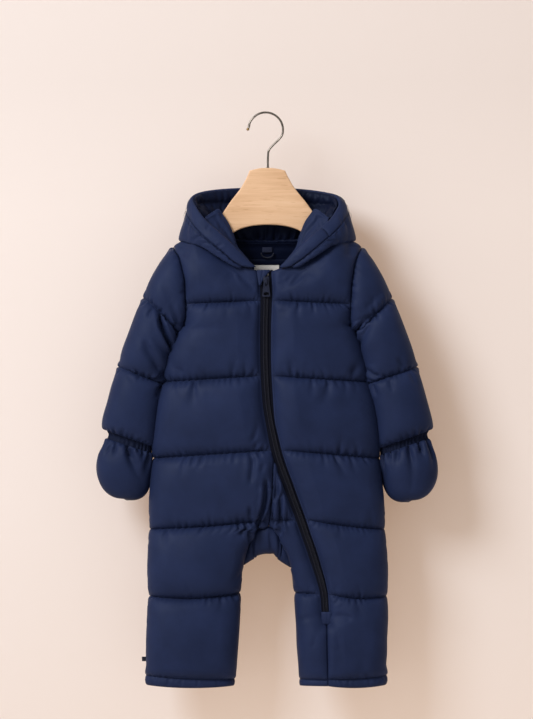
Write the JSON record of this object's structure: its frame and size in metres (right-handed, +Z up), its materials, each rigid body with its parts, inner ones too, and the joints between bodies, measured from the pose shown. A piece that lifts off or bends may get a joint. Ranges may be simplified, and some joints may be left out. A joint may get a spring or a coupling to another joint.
{
  "type": "baby snowsuit on hanger",
  "caption": "Padded baby snowsuit with a hood, sewn-on mittens, quilted rows and a zip that slants down one leg, hanging on a wooden hanger with a wire hook.",
  "frame": {"origin": "inside top of the hanger's hook, where a rod or peg bears", "axes": "+Z up, the suit's front faces -Y, its own left side is at +X"},
  "size_m": [0.478, 0.1158, 0.8059],
  "materials": {
    "shell": "soft sheen nylon",
    "band": "soft sheen nylon",
    "elastic": "gathered matt elastic",
    "lining": "matt",
    "trim": "matt",
    "label": "matt satin",
    "zip_tape": "woven",
    "zip_coil": "satin",
    "slider": "satin",
    "wood": "clear matt",
    "hook": "polished"
  },
  "bodies": {
    "suit": {"front_right": "shell", "front_left_outer": "shell", "front_left_inner": "shell", "back_right": "shell", "back_left": "shell", "crotch_gusset": "shell", "sleeve_right": "shell", "sleeve_left": "shell", "mitten_right": "shell", "mitten_left": "shell", "cuff_right": "elastic", "cuff_left": "elastic", "hood_side_right": "shell", "hood_side_left": "shell", "hood_centre": "shell", "hood_band_right": "band", "hood_band_left": "band", "hood_band_front": "band", "hood_lining": "lining", "neck_facing_right": "band", "neck_facing_left": "band", "back_neck_facing": "lining", "neck_label": "trim", "size_label": "label", "hanging_loop": "trim", "zip_tape_right": "zip_tape", "zip_tape_left": "zip_tape", "zip_chain": "zip_coil", "zip_slider": "slider", "zip_top_flap": "band", "zip_end_tab": "band", "side_tab": "trim", "hanger_wood": "wood", "hanger_hook": "hook"},
    "zip_pull_body": {"zip_pull": "slider"}
  },
  "joints": [
    {"name": "zip_pull_hinge", "type": "hinge", "parent": "suit", "child": "zip_pull_body", "pos_m": [-0.001, -0.042, -0.2365], "axis": [-1, 0, 0], "range_deg": [0, 160]}
  ]
}
